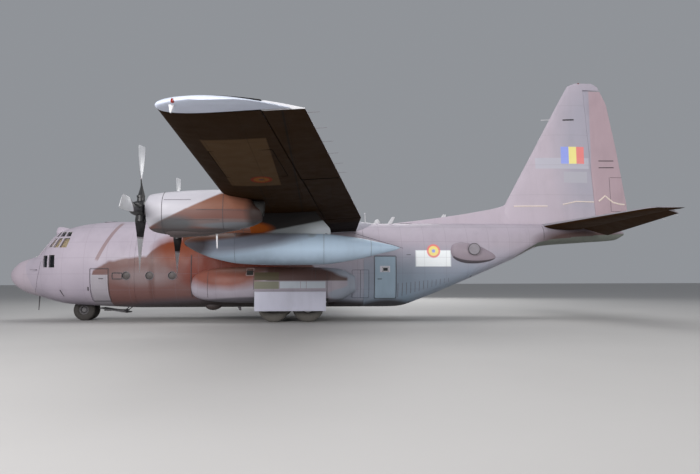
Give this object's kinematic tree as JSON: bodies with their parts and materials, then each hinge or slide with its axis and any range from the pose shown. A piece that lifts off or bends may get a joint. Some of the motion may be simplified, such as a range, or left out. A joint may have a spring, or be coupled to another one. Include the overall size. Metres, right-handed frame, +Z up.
{
  "type": "military transport aircraft",
  "caption": "Half-scale high-wing propeller transport plane with hollow fuselage, cockpit glazing, rear ramp, wing tanks, moving control surfaces, flaps and rolling landing gear",
  "frame": {"origin": "middle of the bounding box at ground level, under the tyres", "axes": "+X from nose to tail, +Y to the right wing tip, +Z up"},
  "size_m": [14.9031, 20.2, 5.83],
  "materials": {
    "paint": "satin",
    "tail_paint": "satin",
    "radome_paint": "satin",
    "tank_paint": "satin",
    "propeller_metal": "satin",
    "engine_steel": "satin",
    "gear_steel": "satin",
    "wheel_paint": "satin",
    "tyre": "matte",
    "window_glass": "gloss",
    "cabin": "matte"
  },
  "bodies": {
    "root": {"cargo_floor": "cabin", "cockpit_glazing": "window_glass", "engine_inner_left": "engine_steel", "engine_inner_right": "engine_steel", "engine_outer_left": "engine_steel", "engine_outer_right": "engine_steel", "fin": "tail_paint", "flight_deck": "cabin", "fuselage_centre": "paint", "fuselage_front": "paint", "fuselage_rear": "tail_paint", "main_gear_door_left": "paint", "main_gear_door_right": "paint", "main_leg_left": "gear_steel", "main_leg_right": "gear_steel", "nacelle_inner_left": "paint", "nacelle_inner_right": "paint", "nacelle_outer_left": "paint", "nacelle_outer_right": "paint", "nose_gear_door": "paint", "nose_leg": "gear_steel", "radome": "radome_paint", "side_door_left": "paint", "side_door_right": "paint", "sponson_left": "paint", "sponson_right": "paint", "tailplane": "tail_paint", "tank_left": "tank_paint", "tank_right": "tank_paint", "wing_centre": "paint", "wing_outer_left": "paint", "wing_outer_right": "paint"},
    "propeller_outer_left": {"propeller_outer_left": "propeller_metal"},
    "propeller_outer_right": {"propeller_outer_right": "propeller_metal"},
    "propeller_inner_left": {"propeller_inner_left": "propeller_metal"},
    "propeller_inner_right": {"propeller_inner_right": "propeller_metal"},
    "nose_steering": {"nose_steering": "gear_steel"},
    "nose_wheels": {"nose_wheels": "wheel_paint", "nose_tyre_left": "tyre", "nose_tyre_right": "tyre"},
    "main_wheel_front_left": {"main_wheel_front_left": "wheel_paint", "main_tyre_front_left": "tyre"},
    "main_wheel_front_right": {"main_wheel_front_right": "wheel_paint", "main_tyre_front_right": "tyre"},
    "main_wheel_rear_left": {"main_wheel_rear_left": "wheel_paint", "main_tyre_rear_left": "tyre"},
    "main_wheel_rear_right": {"main_wheel_rear_right": "wheel_paint", "main_tyre_rear_right": "tyre"},
    "crew_door": {"crew_door": "paint"},
    "cargo_ramp": {"cargo_ramp": "paint"},
    "cargo_door": {"cargo_door": "tail_paint"},
    "rudder": {"rudder": "tail_paint"},
    "elevator_left": {"elevator_left": "tail_paint"},
    "elevator_right": {"elevator_right": "tail_paint"},
    "aileron_left": {"aileron_left": "paint"},
    "aileron_right": {"aileron_right": "paint"},
    "flap_inner_left": {"flap_inner_left": "paint"},
    "flap_inner_right": {"flap_inner_right": "paint"},
    "flap_outer_left": {"flap_outer_left": "paint"},
    "flap_outer_right": {"flap_outer_right": "paint"}
  },
  "joints": [
    {"name": "propeller_outer_left_spin", "type": "hinge", "parent": "root", "child": "propeller_outer_left", "pos_m": [-3.025, -5.1, 2.09], "axis": [1, 0, 0], "continuous": true},
    {"name": "propeller_outer_right_spin", "type": "hinge", "parent": "root", "child": "propeller_outer_right", "pos_m": [-3.025, 5.1, 2.09], "axis": [1, 0, 0], "continuous": true},
    {"name": "propeller_inner_left_spin", "type": "hinge", "parent": "root", "child": "propeller_inner_left", "pos_m": [-3.025, -2.475, 1.975], "axis": [1, 0, 0], "continuous": true},
    {"name": "propeller_inner_right_spin", "type": "hinge", "parent": "root", "child": "propeller_inner_right", "pos_m": [-3.025, 2.475, 1.975], "axis": [1, 0, 0], "continuous": true},
    {"name": "nose_steer", "type": "hinge", "parent": "root", "child": "nose_steering", "pos_m": [-5.6875, 0, 0.49], "axis": [0, 0, 1], "range_deg": [-60, 60]},
    {"name": "nose_wheels_spin", "type": "hinge", "parent": "nose_steering", "child": "nose_wheels", "pos_m": [-5.6875, 0, 0.2475], "axis": [0, 1, 0], "continuous": true},
    {"name": "main_wheel_front_left_spin", "type": "hinge", "parent": "root", "child": "main_wheel_front_left", "pos_m": [-1.1825, -1.0875, 0.355], "axis": [0, 1, 0], "continuous": true},
    {"name": "main_wheel_front_right_spin", "type": "hinge", "parent": "root", "child": "main_wheel_front_right", "pos_m": [-1.1825, 1.0875, 0.355], "axis": [0, 1, 0], "continuous": true},
    {"name": "main_wheel_rear_left_spin", "type": "hinge", "parent": "root", "child": "main_wheel_rear_left", "pos_m": [-0.4225, -1.0875, 0.355], "axis": [0, 1, 0], "continuous": true},
    {"name": "main_wheel_rear_right_spin", "type": "hinge", "parent": "root", "child": "main_wheel_rear_right", "pos_m": [-0.4225, 1.0875, 0.355], "axis": [0, 1, 0], "continuous": true},
    {"name": "crew_door_hinge", "type": "hinge", "parent": "root", "child": "crew_door", "pos_m": [-5.0675, -0.7625, 0.45], "axis": [1, 0, 0], "range_deg": [0, 90]},
    {"name": "cargo_ramp_hinge", "type": "hinge", "parent": "root", "child": "cargo_ramp", "pos_m": [1.8825, 0, 0.383], "axis": [0, 1, 0], "range_deg": [0, 33]},
    {"name": "cargo_door_hinge", "type": "hinge", "parent": "root", "child": "cargo_door", "pos_m": [4.9825, 0, 1.875], "axis": [0, 1, 0], "range_deg": [0, 24]},
    {"name": "rudder_hinge", "type": "hinge", "parent": "root", "child": "rudder", "pos_m": [6.6825, 0, 2.37], "axis": [-0.0775, 0, 0.997], "range_deg": [-35, 35]},
    {"name": "elevator_left_hinge", "type": "hinge", "parent": "root", "child": "elevator_left", "pos_m": [6.18111, -0.425, 2.21], "axis": [-0.0743, 0.9972, -0.0118], "range_deg": [-62, 0]},
    {"name": "aileron_left_hinge", "type": "hinge", "parent": "root", "child": "aileron_left", "pos_m": [-0.34091, -6.5, 2.42253], "axis": [0.09, 0.9949, -0.0457], "range_deg": [-25, 15]},
    {"name": "flap_inner_left_hinge", "type": "hinge", "parent": "root", "child": "flap_inner_left", "pos_m": [-0.0057, -2.01, 1.95403], "axis": [0, 0.9988, -0.0495], "range_deg": [0, 36]},
    {"name": "flap_outer_left_hinge", "type": "hinge", "parent": "root", "child": "flap_outer_left", "pos_m": [-0.17331, -4.6475, 2.08275], "axis": [0.09, 0.9948, -0.0482], "range_deg": [0, 36]},
    {"name": "elevator_right_hinge", "type": "hinge", "parent": "root", "child": "elevator_right", "pos_m": [6.18111, 0.425, 2.21], "axis": [0.0743, 0.9972, 0.0118], "range_deg": [-62, 0]},
    {"name": "aileron_right_hinge", "type": "hinge", "parent": "root", "child": "aileron_right", "pos_m": [-0.34091, 6.5, 2.42253], "axis": [-0.09, 0.9949, 0.0457], "range_deg": [-25, 15]},
    {"name": "flap_inner_right_hinge", "type": "hinge", "parent": "root", "child": "flap_inner_right", "pos_m": [-0.0057, 2.01, 1.95403], "axis": [0, 0.9988, 0.0495], "range_deg": [0, 36]},
    {"name": "flap_outer_right_hinge", "type": "hinge", "parent": "root", "child": "flap_outer_right", "pos_m": [-0.17331, 4.6475, 2.08275], "axis": [-0.09, 0.9948, 0.0482], "range_deg": [0, 36]}
  ],
  "couplings": [
    {"joint": "elevator_right_hinge", "follows": "elevator_left_hinge", "ratio": 1},
    {"joint": "flap_inner_right_hinge", "follows": "flap_inner_left_hinge", "ratio": 1},
    {"joint": "flap_outer_left_hinge", "follows": "flap_inner_left_hinge", "ratio": 1},
    {"joint": "flap_outer_right_hinge", "follows": "flap_inner_left_hinge", "ratio": 1}
  ]
}
